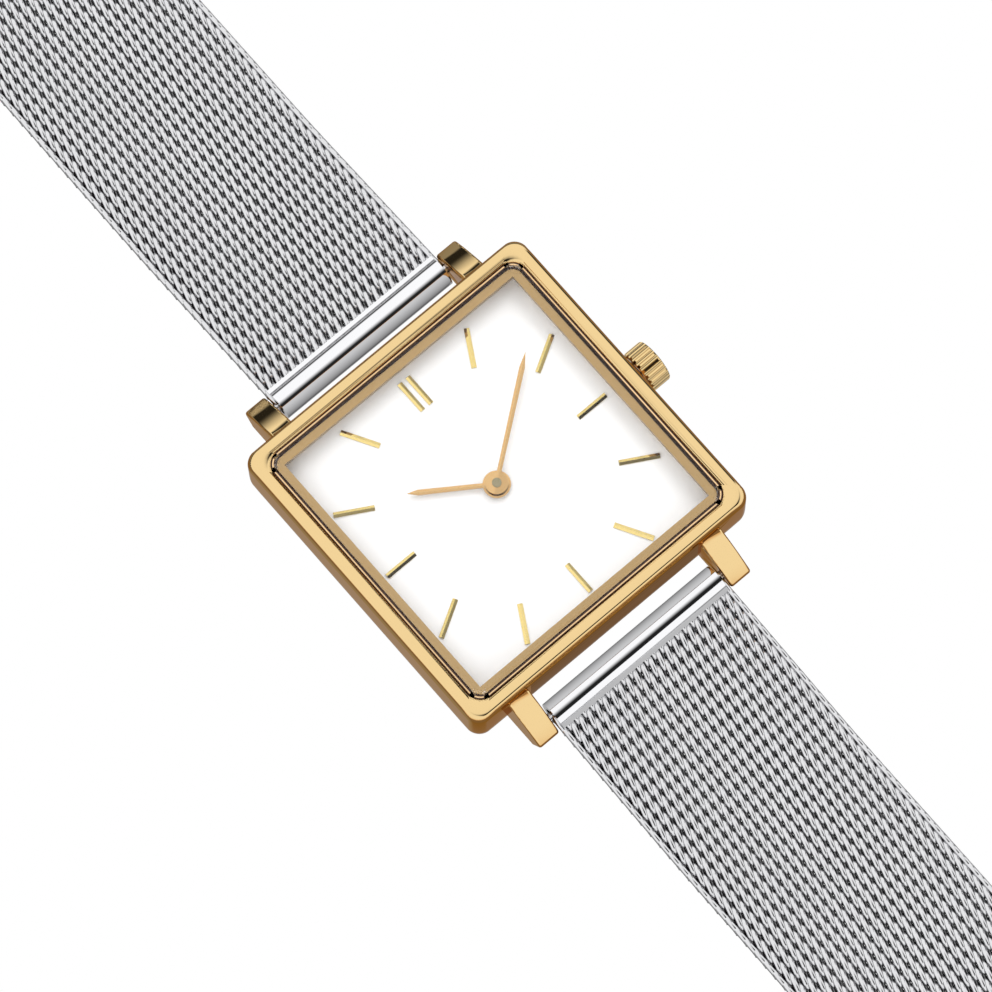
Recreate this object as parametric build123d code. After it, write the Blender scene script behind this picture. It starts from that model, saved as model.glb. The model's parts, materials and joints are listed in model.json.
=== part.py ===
# Square quartz watch on a woven steel band, in millimetres, open and laid flat.
# +Z is the dial's normal, +X points to the crown and +Y to twelve o'clock.
# The origin lies on the hand axis, on the outer face of the case back.
from build123d import *
import math
import os

# Running gap between pieces that turn or slide, and the overrun of every cut
running_gap = 0.05
overrun = 1.0

# Case: an upright wall profile carried round a square
case_half = 13.0
case_corner_r = 1.9
case_wall = 1.55
case_bottom_z = 0.7
case_bottom_inset = 0.75
case_low_z = 2.9
case_shoulder_z = 5.6
case_crest_z = 6.3
bezel_round = 0.32
bezel_width = 1.05
bezel_inner_round = 0.4
bezel_inner_drop = 0.25
crystal_ledge_z = 5.75

# Lugs
lug_thick = 1.85
lug_band_gap = 0.15
lug_long = 3.45
lug_root = 0.8
lug_top_z = 4.95
lug_tip_z = 2.55
lug_under_z = 0.95
lug_bow = 0.2
lug_edge_r = 0.2
lug_tip_r = 0.35

# Crystal, its gasket and the gold frame under it
gasket_wall = 0.4
gasket_foot = 0.15
crystal_thick = 0.8
crystal_bevel = 0.2
gasket_top_drop = 0.38
flange_lip_inset = 2.22
flange_lip_thick = 0.5
flange_wall = 0.4

# Dial and its markers
dial_top_z = 4.3
dial_thick = 0.4
dial_edge_gap = 0.05
dial_hole_r = 0.85
dial_foot_r = 0.35
dial_foot_deep = 0.6
dial_foot_x = 6.4
dial_foot_y = 5.6
marker_width = 0.4
marker_high = 0.15
marker_edge = 0.08
marker_inner_inset = 5.28
marker_outer_inset = 2.67
marker_pair_pitch = 0.78

# Hands, shown at eight past ten
minute_hand_share = 0.926
hour_hand_share = 0.601
minute_hand_turn = 37.4
hour_hand_turn = 145.6
hand_thick = 0.14
hand_edge = 0.06
hand_root_width = 0.33
hand_wide_width = 0.41
hand_wide_share = 0.88
hour_hub_r = 1.025
minute_hub_r = 0.85
hour_hand_z = 4.62
minute_hand_z = 5.0
arbor_top_z = 5.19

# Movement plates and the gears between them
movement_r = 9.0
holder_gap = 0.05
holder_slot_half = 1.3
plate_z = 2.95
plate_top_z = 3.58
bridge_z = 1.6
bridge_thick = 0.32
board_z = 1.35
board_thick = 0.2
board_edge_y = 4.1
board_edge = 0.4
arbor_r = 0.35
pivot_r = 0.15
post_r = 0.2
hour_tube_r = 0.72
train_low_z = 2.2
train_high_z = 2.58
pivot_deep = 0.2
motion_head = 0.04
recess_gap = 0.15
bridge_left = -6.35
bridge_right = 2.4
bridge_low = -3.6
bridge_high = 3.5
bridge_corner_r = 0.6
battery_wall = 0.3
battery_wall_gap = 0.06
slot_from_x = 4.98
slot_gap = 0.15
gear_thick = 0.2
motion_low_z = 3.38
motion_low_thick = 0.16
motion_high_z = 3.62
motion_floor_z = 3.34

# Tooth counts and modules: the rotor turns sixty times for one turn of the minute hand
centre_teeth = 60
middle_pinion_teeth = 8
middle_teeth = 48
rotor_teeth = 6
cannon_teeth = 12
minute_wheel_teeth = 36
minute_pinion_teeth = 10
hour_teeth = 40
setting_teeth = 16
train_module = 0.08
motion_module = 0.1
addendum_share = 0.85
dedendum_share = 1.2
tooth_tip_share = 0.09
tooth_root_share = 0.25

# Directions between the arbors, in degrees from +X
middle_direction = 150.0
rotor_direction = 200.0
minute_wheel_direction = -35.0

# Step motor, battery and electronics
rotor_magnet_r = 0.75
rotor_magnet_thick = 0.45
stator_z = 2.0
stator_thick = 0.3
stator_hole_r = 0.95
stator_bar_width = 2.2
stator_leg_width = 0.8
stator_high_y = 4.22
stator_low_y = -4.98
stator_leg_out = 0.4
coil_x = -6.9
coil_r = 0.5
coil_core_thick = 0.25
coil_core_width = 0.6
battery_r = 2.9
battery_thick = 1.65
battery_z = 1.15
battery_x = 3.4
battery_y = -4.6
battery_step = 0.25
clamp_thick = 0.2
clamp_width = 1.6
clamp_screw_x = -0.3
clamp_reach = 2.2
quartz_can_r = 0.6
quartz_can_long = 4.2
quartz_can_x = 0.6
electronics_y = 6.2
chip_side = 1.8
chip_thick = 0.4
chip_x = -2.0

# Movement screws
screw_r = 0.25
screw_head_r = 0.5
screw_head_thick = 0.2
screw_slot = 0.12
screw_deep = 0.7
pillar_r = 0.38
bridge_screw_shares = ((0.2, 0.322), (-0.133, -0.339), (-0.656, 0.289))
board_screw_shares = ((-0.5, 0.711), (0.622, 0.644))

# Case back and its gasket
back_inset = 0.8
back_chamfer = 0.35
back_lip_wall = 0.5
back_lip_top_z = 1.4
back_gasket_z = 0.95
back_gasket_high = 0.3
back_gasket_deep = 0.3

# Crown, its tube and the stem
crown_z = 2.75
crown_r = 1.725
crown_gap = 0.4
crown_long = 1.7
crown_dome = 0.2
crown_edge_r = 0.2
crown_flutes = 22
crown_flute_r = 0.17
crown_end_wall = 0.35
crown_bore_r = 1.25
tube_r = 1.0
tube_bore_r = 0.42
tube_in = 0.4
tube_out = 1.65
crown_gasket_long = 0.3
crown_gasket_in = 0.1
crown_gasket_gap = 0.02
stem_r = 0.5
stem_thin_r = 0.35
stem_end_x = 4.3
stem_thick_from_x = 7.5
stem_thick_to_x = 10.0
stem_groove_x = 8.1
stem_groove_width = 0.4
stem_groove_r = 0.28
pinion_r = 0.75
pinion_from_x = 5.7
pinion_long = 1.1
pinion_teeth = 12
pinion_tooth_deep = 0.25
pinion_tooth_width = 0.16
lever_thick = 0.2
lever_width = 0.8
lever_pivot_x = 8.3
lever_pivot_y = 1.7
lever_pin_r = 0.15
lever_slot_half = 0.3
lever_slot_long = 1.4

# Spring bars
bar_out = 2.2
bar_z = 2.45
barrel_r = 0.65
barrel_bore_r = 0.5
barrel_inset = 0.5
bar_pin_r = 0.45
bar_pin_long = 2.4
bar_tip_r = 0.36
bar_tip_long = 0.85
bar_spring_r = 0.42
bar_spring_bore_r = 0.3

# Band end tubes and the band itself
end_tube_r = 1.15
end_tube_inset = 0.2
jaw_from = 0.8
jaw_to = 1.2
jaw_thick = 1.45
band_half = 8.0
band_thick = 1.3
opening_width = 0.6
opening_long = 1.0
opening_pitch_x = 2.0
opening_pitch_y = 2.8
opening_margin = 0.5
opening_columns = 7
lead_long = 15.0
link_long = 12.0
link_count = 3
joint_socket_r = 0.68
joint_back_off = 0.35
tail_rise = 0.65
tail_long = 46.0
tip_long = 1.2
tip_edge_r = 0.5

# Hook end of the twelve o'clock half
hook_strip_long = 1.6
hook_arm_long = 3.0
hook_arm_width = 1.6
hook_arm_thick = 0.9
hook_rod_r = 0.6
hook_rod_inset = 2.0

# Sliding clasp on the six o'clock half
clasp_wall = 0.6
clasp_side_gap = 0.1
clasp_side_wall = 0.8
clasp_long = 22.0
clasp_from_tail = 6.0
clasp_pin_r = 0.3
clasp_ear_thick = 1.1
clasp_ear_half = 0.6
lock_inset = 1.6
lock_long = 7.6
lock_thick = 0.5
lock_knuckle_r = 0.5
lock_pin_inset = 1.2
lock_rib = 0.1
cover_long = 12.4
cover_thick = 0.5
cover_gap = 1.4
cover_pin_inset = 0.6
cover_web_out = 0.3
cover_pin_rise = 0.75
cover_knuckle_r = 0.6
cover_knuckle_inset = 2.6
cover_cheek = 0.5
cover_cheek_down = 1.6
catch_inset = 4.0
catch_thick = 0.6
catch_high = 0.9
catch_gap = 1.5

# Places worked out from the sizes above
cavity_half = case_half - case_wall
pocket_half = case_half - bezel_width
crystal_half = pocket_half - gasket_wall
crystal_z = crystal_ledge_z + gasket_foot
dial_z = dial_top_z - dial_thick
dial_half = cavity_half - dial_edge_gap
flange_lip_half = case_half - flange_lip_inset
marker_inner_half = case_half - marker_inner_inset
marker_outer_half = case_half - marker_outer_inset
minute_hand_long = minute_hand_share * flange_lip_half
hour_hand_long = hour_hand_share * flange_lip_half
board_r = movement_r - board_edge
back_half = case_half - back_inset
lug_outer_x = band_half + lug_band_gap + lug_thick
lug_tip_y = case_half + lug_long
bar_y = case_half + bar_out
end_tube_half = band_half - end_tube_inset
barrel_half = end_tube_half - barrel_inset
bar_pin_collar_x = band_half
bar_pin_inner_x = bar_pin_collar_x - bar_pin_long
hook_rod_half = band_half - hook_rod_inset
lock_half = band_half - lock_inset
cover_knuckle_half = band_half - cover_knuckle_inset
catch_half = band_half - catch_inset
crown_x = case_half + crown_gap
band_mid_z = band_thick / 2
band_drop = bar_z - band_mid_z
lead_slope = math.degrees(math.asin(band_drop / lead_long))
lead_reach = lead_long * math.cos(math.radians(lead_slope))
first_joint_y = bar_y + lead_reach
last_joint_y = first_joint_y + link_count * link_long
ramp_slope = math.degrees(math.asin(tail_rise / link_long))
tail_y = last_joint_y + link_long * math.cos(math.radians(ramp_slope))
tail_mid_z = band_mid_z + tail_rise

FROM_BASE = (Align.CENTER, Align.CENTER, Align.MIN)
FROM_CORNER = (Align.MIN, Align.MIN, Align.MIN)


# Shapes that many pieces share
def corner_radius(half):
    """Radius of a corner that runs parallel to the case's outer corner."""
    return case_corner_r - (case_half - half)


def post(r, z0, z1, x=0, y=0):
    """Upright cylinder."""
    return Pos(x, y, z0) * Cylinder(r, z1 - z0, align=FROM_BASE)


def rod(r, x0, x1, y=0, z=0):
    """Cylinder along X."""
    return Pos(x0, y, z) * Rot(0, 90, 0) * Cylinder(r, x1 - x0, align=FROM_BASE)


def block(xs, ys, zs):
    """Box between two limits along each axis."""
    return Pos(xs[0], ys[0], zs[0]) * Box(xs[1] - xs[0], ys[1] - ys[0], zs[1] - zs[0], align=FROM_CORNER)


def square_prism(half, r, z0, z1):
    """Upright square prism with rounded corners, centred on the hand axis."""
    return Pos(0, 0, z0) * extrude(RectangleRounded(2 * half, 2 * half, r), amount=z1 - z0)


def square_box(half, z0, z1):
    """Upright square prism with sharp corners."""
    return block((-half, half), (-half, half), (z0, z1))


def square_ring(profile, half, r):
    """Upright profile, drawn at +X, carried round a square with rounded corners."""
    run = half - r
    face = Plane.XZ * profile
    side = extrude(Pos(0, run, 0) * face, amount=2 * run)
    corner = revolve(Pos(0, run, 0) * face, axis=Axis((run, run, 0), (0, 0, 1)), revolution_arc=90)
    quarter = side + corner
    return Part() + [Rot(0, 0, 90 * turn) * quarter for turn in range(4)]


def away(start, distance, direction):
    """Point at a distance and direction, in degrees, from another."""
    angle = math.radians(direction)
    return (start[0] + distance * math.cos(angle), start[1] + distance * math.sin(angle))


def direction_to(start, end):
    """Direction of one point from another, in degrees."""
    return math.degrees(math.atan2(end[1] - start[1], end[0] - start[0]))


# Gears
def pitch_radius(teeth, module):
    return teeth * module / 2


def gear(teeth, module, z0, z1, at, tooth_at):
    """Toothed disc at a point, with the middle of one tooth in the given direction."""
    pitch = pitch_radius(teeth, module)
    tip = pitch + addendum_share * module
    root = pitch - dedendum_share * module
    step = 360 / teeth
    points = []
    for tooth in range(teeth):
        middle = tooth_at + tooth * step
        points.append(away((0, 0), root, middle - tooth_root_share * step))
        points.append(away((0, 0), tip, middle - tooth_tip_share * step))
        points.append(away((0, 0), tip, middle + tooth_tip_share * step))
        points.append(away((0, 0), root, middle + tooth_root_share * step))
    outline = make_face(Polyline(*points, close=True))
    return Pos(at[0], at[1], z0) * extrude(outline, amount=z1 - z0)


def meshed(direction, teeth, tooth_at, other_teeth):
    """Direction of a tooth of the next gear, so that its gap faces this gear's tooth."""
    turned = (direction - tooth_at) / (360 / teeth)
    return direction + 180 + (turned + 0.5) * 360 / other_teeth


# Arbors of the train and of the motion work
centre_at = (0, 0)
middle_at = away(centre_at, pitch_radius(centre_teeth + middle_pinion_teeth, train_module), middle_direction)
rotor_at = away(middle_at, pitch_radius(middle_teeth + rotor_teeth, train_module), rotor_direction)
motion_distance = pitch_radius(cannon_teeth + minute_wheel_teeth, motion_module)
minute_wheel_at = away(centre_at, motion_distance, minute_wheel_direction)
motion_high_module = 2 * motion_distance / (minute_pinion_teeth + hour_teeth)
setting_distance = pitch_radius(minute_wheel_teeth + setting_teeth, motion_module)
setting_at = (minute_wheel_at[0] + math.sqrt(setting_distance**2 - minute_wheel_at[1] ** 2), 0)
setting_direction = direction_to(minute_wheel_at, setting_at)
minute_wheel_tooth = meshed(minute_wheel_direction, cannon_teeth, minute_wheel_direction, minute_wheel_teeth)


# Case
def make_case_body():
    outer_x = case_half
    flat_x = case_half - bezel_round
    foot_x = case_half - case_bottom_inset
    flat_from_x = pocket_half + bezel_inner_round
    inner_z = case_crest_z - bezel_inner_drop
    outline = Polyline(
        (foot_x, case_bottom_z),
        (cavity_half, case_bottom_z),
        (cavity_half, crystal_ledge_z),
        (pocket_half, crystal_ledge_z),
        (pocket_half, inner_z),
    )
    outline += EllipticalCenterArc(
        (flat_from_x, inner_z), bezel_inner_round, bezel_inner_drop, start_angle=90, arc_size=90
    )
    outline += Line((flat_from_x, case_crest_z), (flat_x, case_crest_z))
    rise = case_crest_z - case_shoulder_z
    outline += EllipticalCenterArc((flat_x, case_shoulder_z), bezel_round, rise, start_angle=0, arc_size=90)
    outline += Line((outer_x, case_shoulder_z), (outer_x, case_low_z))
    outline += EllipticalCenterArc(
        (foot_x, case_low_z), case_bottom_inset, case_low_z - case_bottom_z, start_angle=270, arc_size=90
    )
    body = square_ring(make_face(outline), case_half, case_corner_r)
    for side in (-1, 1):
        for end in (0, 180):
            body += Rot(0, 0, end) * Pos(side * (lug_outer_x - lug_thick / 2), 0, 0) * make_lug()
    for side in (-1, 1):
        for end in (-1, 1):
            inner_x = lug_outer_x - lug_thick
            hole = rod(bar_tip_r + running_gap, inner_x - overrun, inner_x + bar_tip_long + running_gap)
            body -= Rot(0, 0, 0 if side > 0 else 180) * Pos(0, end * bar_y, bar_z) * hole
    body -= rod(tube_r, cavity_half - overrun, case_half + overrun, z=crown_z)
    return body


def make_lug():
    """One lug towards +Y, centred on its own thickness."""
    root_y = case_half - lug_root
    knee = (case_half + lug_tip_y) / 2
    side = Polyline(
        (lug_tip_y, lug_tip_z),
        (lug_tip_y - lug_root, lug_under_z),
        (root_y, lug_under_z),
        (root_y, lug_top_z),
        (case_half, lug_top_z),
    )
    knee_z = (lug_top_z + lug_tip_z) / 2 + lug_bow
    side += ThreePointArc((case_half, lug_top_z), (knee, knee_z), (lug_tip_y, lug_tip_z))
    lug = extrude(Plane.YZ * make_face(side), amount=lug_thick)
    lug = fillet(lug.edges().filter_by(Axis.X).group_by(Axis.Y)[-1], lug_tip_r)
    lug = fillet(lug.edges().filter_by(Axis.X, reverse=True), lug_edge_r)
    return Pos(-lug_thick / 2, 0, 0) * lug


def make_crystal():
    crystal = square_prism(crystal_half, corner_radius(crystal_half), crystal_z, crystal_z + crystal_thick)
    return chamfer(crystal.faces().sort_by(Axis.Z)[-1].edges(), crystal_bevel)


def make_crystal_gasket():
    top = crystal_z + crystal_thick - crystal_bevel - gasket_top_drop
    ring = square_prism(pocket_half, corner_radius(pocket_half), crystal_ledge_z, top)
    ring -= square_prism(crystal_half, corner_radius(crystal_half), crystal_z, top + overrun)
    hole = square_prism(cavity_half, corner_radius(cavity_half), crystal_ledge_z - overrun, top + overrun)
    return ring - hole


def make_dial_flange():
    top = crystal_z - running_gap
    flange = square_prism(dial_half, corner_radius(dial_half), dial_top_z, top)
    flange -= square_box(dial_half - flange_wall, dial_top_z - overrun, top - flange_lip_thick)
    return flange - square_box(flange_lip_half, dial_top_z, top + overrun)


# Dial, markers and hands
def make_dial():
    dial = square_prism(dial_half, corner_radius(dial_half), dial_z, dial_top_z)
    dial -= post(dial_hole_r, dial_z - overrun, dial_top_z + overrun)
    for side in (-1, 1):
        dial += post(dial_foot_r, dial_z - dial_foot_deep, dial_z, side * dial_foot_x, -side * dial_foot_y)
    return dial


def roof_bar(from_x, to_x, half, edge_z, ridge_z):
    """Bar along X with upright sides and a low roof whose ridge runs along X."""
    points = ((-half, 0), (half, 0), (half, edge_z), (0, ridge_z), (-half, edge_z))
    end_face = Plane.YZ.offset(from_x) * make_face(Polyline(*points, close=True))
    return extrude(end_face, amount=to_x - from_x)


def make_hour_markers():
    markers = []
    for hour in range(1, 13):
        direction = 90 - 30 * hour
        spread = max(abs(math.cos(math.radians(direction))), abs(math.sin(math.radians(direction))))
        inner = marker_inner_half / spread
        outer = marker_outer_half / spread
        shifts = (-marker_pair_pitch / 2, marker_pair_pitch / 2) if hour == 12 else (0,)
        for shift in shifts:
            baton = roof_bar(inner, outer, marker_width / 2, marker_edge, marker_high)
            markers.append(Rot(0, 0, direction) * Pos(0, shift, dial_top_z) * baton)
    return Compound(children=markers)


def make_hand(long, hub_r, bore_r, z, turn):
    """Hand pressed from sheet: blade and hub fall away to both sides of a ridge along the hand."""
    blade = (
        (0, -hand_root_width / 2),
        (long * hand_wide_share, -hand_wide_width / 2),
        (long, 0),
        (long * hand_wide_share, hand_wide_width / 2),
        (0, hand_root_width / 2),
    )
    sheet = make_face(Polyline(*blade, close=True)) + Circle(hub_r)
    hand = extrude(sheet, amount=hand_thick) & roof_bar(-hub_r, long, hub_r, hand_edge, hand_thick)
    hand -= post(bore_r, -overrun, overrun)
    return Pos(0, 0, z) * Rot(0, 0, turn) * hand


# Movement
def screw_places(shares):
    """Points at the given shares of the movement's radius."""
    return [(movement_r * x_share, movement_r * y_share) for x_share, y_share in shares]


def pillar_places():
    """Every screw: its place and the height that its head bears on, looking from the back."""
    places = [(place, bridge_z, bridge_z + bridge_thick) for place in screw_places(bridge_screw_shares)]
    places += [(place, board_z, board_z + board_thick) for place in screw_places(board_screw_shares)]
    for y in (stator_low_y + stator_leg_width / 2, stator_high_y - stator_leg_width / 2):
        places.append(((coil_x, y), stator_z, stator_z + stator_thick + coil_core_thick))
    places += [((clamp_screw_x, battery_y), battery_z - clamp_thick, battery_z)]
    return places


def make_main_plate():
    plate = post(movement_r, plate_z, plate_top_z)
    wheel_r = pitch_radius(minute_wheel_teeth, motion_module) + recess_gap
    setting_r = pitch_radius(setting_teeth, motion_module) + recess_gap
    cannon_r = pitch_radius(cannon_teeth, motion_module) + recess_gap
    for place, r in ((minute_wheel_at, wheel_r), (setting_at, setting_r), (centre_at, cannon_r)):
        plate -= post(r, motion_floor_z, plate_top_z + overrun, *place)
    for place in (minute_wheel_at, setting_at):
        plate += post(post_r, motion_floor_z, plate_top_z, *place)
    plate += post(post_r, plate_top_z, motion_high_z + gear_thick + motion_head, *minute_wheel_at)
    slot_half = pinion_r + slot_gap
    slot_zs = (plate_z - overrun, plate_top_z + overrun)
    plate -= block((slot_from_x, stem_thick_from_x), (-slot_half, slot_half), slot_zs)
    plate -= rod(stem_thin_r + running_gap, stem_end_x - running_gap, stem_thick_from_x, z=crown_z)
    plate -= rod(stem_r + running_gap, stem_thick_from_x - running_gap, movement_r + overrun, z=crown_z)
    lever_from_x = stem_groove_x - stem_groove_width / 2
    lever_slot = ((lever_from_x, lever_from_x + lever_slot_long), (-lever_slot_half, lever_slot_half))
    plate -= block(*lever_slot, (crown_z, plate_top_z + overrun))
    lever_top = motion_high_z + lever_thick + motion_head
    plate += post(post_r, plate_top_z, lever_top, lever_pivot_x, lever_pivot_y)
    for place, head_z, seat_z in pillar_places():
        plate += post(pillar_r, seat_z, plate_z, *place)
    wall_r = battery_r + battery_wall_gap
    wall_low = battery_z + battery_thick / 2
    wall = post(wall_r + battery_wall, wall_low, plate_z, battery_x, battery_y)
    wall -= post(wall_r, wall_low, plate_z, battery_x, battery_y)
    wall -= post(pitch_radius(centre_teeth, train_module) + recess_gap, wall_low, plate_z)
    plate += wall
    for place, head_z, seat_z in pillar_places():
        plate -= post(screw_r, head_z, head_z + screw_deep, *place)
    foot_zs = (dial_z - dial_foot_deep, plate_top_z + overrun)
    for side in (-1, 1):
        plate -= post(dial_foot_r, *foot_zs, side * dial_foot_x, -side * dial_foot_y)
    plate -= post(arbor_r + running_gap, plate_z - overrun, plate_top_z + overrun)
    for place in (middle_at, rotor_at):
        plate -= post(pivot_r + running_gap, plate_z - overrun, plate_z + pivot_deep + running_gap, *place)
    return plate


def make_train_bridge():
    bridge_top = bridge_z + bridge_thick
    middle = Pos((bridge_left + bridge_right) / 2, (bridge_low + bridge_high) / 2, bridge_z)
    outline = RectangleRounded(bridge_right - bridge_left, bridge_high - bridge_low, bridge_corner_r)
    bridge = extrude(middle * outline, amount=bridge_thick)
    clear_r = battery_r + battery_wall + battery_wall_gap + running_gap
    bridge -= post(clear_r, bridge_z - overrun, bridge_top + overrun, battery_x, battery_y)
    for place in screw_places(bridge_screw_shares):
        bridge -= post(screw_r, bridge_z - overrun, bridge_top + overrun, *place)
    for place in (centre_at, middle_at, rotor_at):
        bridge -= post(pivot_r + running_gap, bridge_z - overrun, bridge_top + overrun, *place)
    return bridge


def make_center_wheel():
    shaft_from = bridge_z + bridge_thick + running_gap
    wheel = post(arbor_r, shaft_from, arbor_top_z) + post(pivot_r, bridge_z, shaft_from)
    top_z = train_low_z + gear_thick
    wheel += gear(centre_teeth, train_module, train_low_z, top_z, centre_at, middle_direction)
    cannon_top = motion_low_z + motion_low_thick
    wheel += gear(cannon_teeth, motion_module, motion_low_z, cannon_top, centre_at, minute_wheel_direction)
    return wheel


def make_intermediate_wheel():
    tooth = meshed(middle_direction, centre_teeth, middle_direction, middle_pinion_teeth)
    wheel = post(pivot_r, bridge_z, plate_z + pivot_deep, *middle_at)
    pinion_low = train_low_z - running_gap
    wheel += gear(middle_pinion_teeth, train_module, pinion_low, train_high_z, middle_at, tooth)
    top_z = train_high_z + gear_thick
    return wheel + gear(middle_teeth, train_module, train_high_z, top_z, middle_at, rotor_direction)


def make_rotor():
    tooth = meshed(rotor_direction, middle_teeth, rotor_direction, rotor_teeth)
    rotor = post(pivot_r, bridge_z, plate_z + pivot_deep, *rotor_at)
    rotor += post(rotor_magnet_r, stator_z, stator_z + rotor_magnet_thick, *rotor_at)
    pinion_top = train_high_z + gear_thick + running_gap
    return rotor + gear(rotor_teeth, train_module, stator_z, pinion_top, rotor_at, tooth)


def make_minute_wheel():
    low_top = motion_low_z + motion_low_thick
    wheel = gear(
        minute_wheel_teeth, motion_module, motion_low_z, low_top, minute_wheel_at, minute_wheel_tooth
    )
    back_to_centre = minute_wheel_direction + 180
    pinion_top = motion_high_z + gear_thick
    teeth = minute_pinion_teeth
    wheel += gear(teeth, motion_high_module, low_top, pinion_top, minute_wheel_at, back_to_centre)
    return wheel - post(post_r + running_gap, motion_low_z - overrun, pinion_top + overrun, *minute_wheel_at)


def make_hour_wheel():
    back_to_centre = minute_wheel_direction + 180
    tooth = meshed(back_to_centre, minute_pinion_teeth, back_to_centre, hour_teeth)
    wheel = gear(hour_teeth, motion_high_module, motion_high_z, motion_high_z + gear_thick, centre_at, tooth)
    wheel += post(hour_tube_r, motion_high_z, hour_hand_z + hand_thick)
    return wheel - post(arbor_r + running_gap, motion_high_z - overrun, minute_hand_z)


def make_setting_wheel():
    tooth = meshed(setting_direction, minute_wheel_teeth, minute_wheel_tooth, setting_teeth)
    top = motion_low_z + motion_low_thick
    wheel = gear(setting_teeth, motion_module, motion_low_z, top, setting_at, tooth)
    return wheel - post(post_r + running_gap, motion_low_z - overrun, top + overrun, *setting_at)


def make_stator():
    left = coil_x - stator_leg_out
    bar = (rotor_at[0] - stator_bar_width / 2, rotor_at[0] + stator_bar_width / 2)
    heights = (stator_z, stator_z + stator_thick)
    stator = block(bar, (stator_low_y, stator_high_y), heights)
    stator += block((left, bar[0]), (stator_low_y, stator_low_y + stator_leg_width), heights)
    stator += block((left, bar[0]), (stator_high_y - stator_leg_width, stator_high_y), heights)
    stator -= post(stator_hole_r, stator_z - overrun, stator_z + stator_thick + overrun, *rotor_at)
    for place, head_z, seat_z in pillar_places():
        stator -= post(screw_r, head_z - overrun, head_z + screw_deep, *place)
    return stator


def make_coil():
    low = stator_low_y
    high = stator_high_y
    core_z = stator_z + stator_thick
    core_x = (coil_x - coil_core_width / 2, coil_x + coil_core_width / 2)
    coil = block(core_x, (low, high), (core_z, core_z + coil_core_thick))
    for y in (low + stator_leg_width / 2, high - stator_leg_width / 2):
        coil += post(pillar_r, core_z, core_z + coil_core_thick, coil_x, y)
        coil -= post(screw_r, core_z - overrun, core_z + overrun, coil_x, y)
    winding_long = high - low - 2 * stator_leg_width - 2 * running_gap
    winding = Rot(-90, 0, 0) * Cylinder(coil_r, winding_long)
    return coil + Pos(coil_x, (low + high) / 2, core_z + coil_core_thick / 2) * winding


def make_circuit_board():
    top = board_z + board_thick
    board = post(board_r, board_z, top)
    board &= block((-board_r, board_r), (board_edge_y, board_r), (board_z, top))
    for place in screw_places(board_screw_shares):
        board -= post(screw_r, board_z - overrun, top + overrun, *place)
    return board


def make_chip():
    half = chip_side / 2
    top = board_z + board_thick
    ys = (electronics_y - half, electronics_y + half)
    return block((chip_x - half, chip_x + half), ys, (top, top + chip_thick))


def make_quartz_can():
    middle_z = board_z + board_thick + quartz_can_r
    return rod(quartz_can_r, quartz_can_x, quartz_can_x + quartz_can_long, electronics_y, middle_z)


def make_battery():
    can_top = battery_z + battery_thick - battery_step
    battery = post(battery_r, battery_z, can_top, battery_x, battery_y)
    return battery + post(battery_r - battery_step, can_top, battery_z + battery_thick, battery_x, battery_y)


def make_battery_clamp():
    xs = (clamp_screw_x - clamp_width / 2, battery_x + clamp_reach)
    ys = (battery_y - clamp_width / 2, battery_y + clamp_width / 2)
    clamp = block(xs, ys, (battery_z - clamp_thick, battery_z))
    return clamp - post(screw_r, battery_z - overrun, battery_z + overrun, clamp_screw_x, battery_y)


def make_movement_screws():
    screws = []
    for place, head_z, seat_z in pillar_places():
        screw = post(screw_r, 0, screw_deep) + post(screw_head_r, -screw_head_thick, 0)
        slot_half = screw_slot / 2
        slot_z = (-screw_head_thick - overrun, slot_half - screw_head_thick)
        screw -= block((-screw_head_r, screw_head_r), (-slot_half, slot_half), slot_z)
        screws.append(Pos(place[0], place[1], head_z) * screw)
    return Compound(children=screws)


def make_movement_holder():
    holder = square_prism(dial_half, corner_radius(dial_half), back_lip_top_z, dial_z)
    holder -= post(movement_r + holder_gap, back_lip_top_z - overrun, dial_z + overrun)
    slot_ys = (-holder_slot_half, holder_slot_half)
    return holder - block((0, case_half), slot_ys, (back_lip_top_z - overrun, dial_z + overrun))


# Crown, stem and setting parts
def make_crown():
    end_x = crown_x + crown_long
    floor_x = end_x - crown_end_wall
    profile = Polyline(
        (end_x + crown_dome, 0),
        (end_x, 0),
        (end_x, stem_thin_r),
        (floor_x, stem_thin_r),
        (floor_x, crown_bore_r),
        (crown_x, crown_bore_r),
        (crown_x, crown_r - crown_edge_r),
        (crown_x + crown_edge_r, crown_r),
        (end_x - crown_edge_r, crown_r),
    )
    knee = crown_edge_r * (1 - math.sqrt(1 / 2))
    shoulder = (end_x, crown_r - crown_edge_r)
    profile += ThreePointArc((end_x - crown_edge_r, crown_r), (end_x - knee, crown_r - knee), shoulder)
    dome_r = (shoulder[1] ** 2 + crown_dome**2) / (2 * crown_dome)
    dome_turn = math.asin(shoulder[1] / dome_r) / 2
    dome_middle = (end_x + crown_dome - dome_r * (1 - math.cos(dome_turn)), dome_r * math.sin(dome_turn))
    profile += ThreePointArc(shoulder, dome_middle, (end_x + crown_dome, 0))
    crown = revolve(make_face(profile), axis=Axis.X)
    flute = rod(crown_flute_r, crown_x - overrun, end_x + overrun, y=crown_r + crown_flute_r / 4)
    crown -= [Rot(turn * 360 / crown_flutes, 0, 0) * flute for turn in range(crown_flutes)]
    return Pos(0, 0, crown_z) * crown


def make_crown_tube():
    inner_x = cavity_half - tube_in
    outer_x = case_half + tube_out
    bore = rod(tube_bore_r, inner_x - overrun, outer_x + overrun, z=crown_z)
    return rod(tube_r, inner_x, outer_x, z=crown_z) - bore


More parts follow.
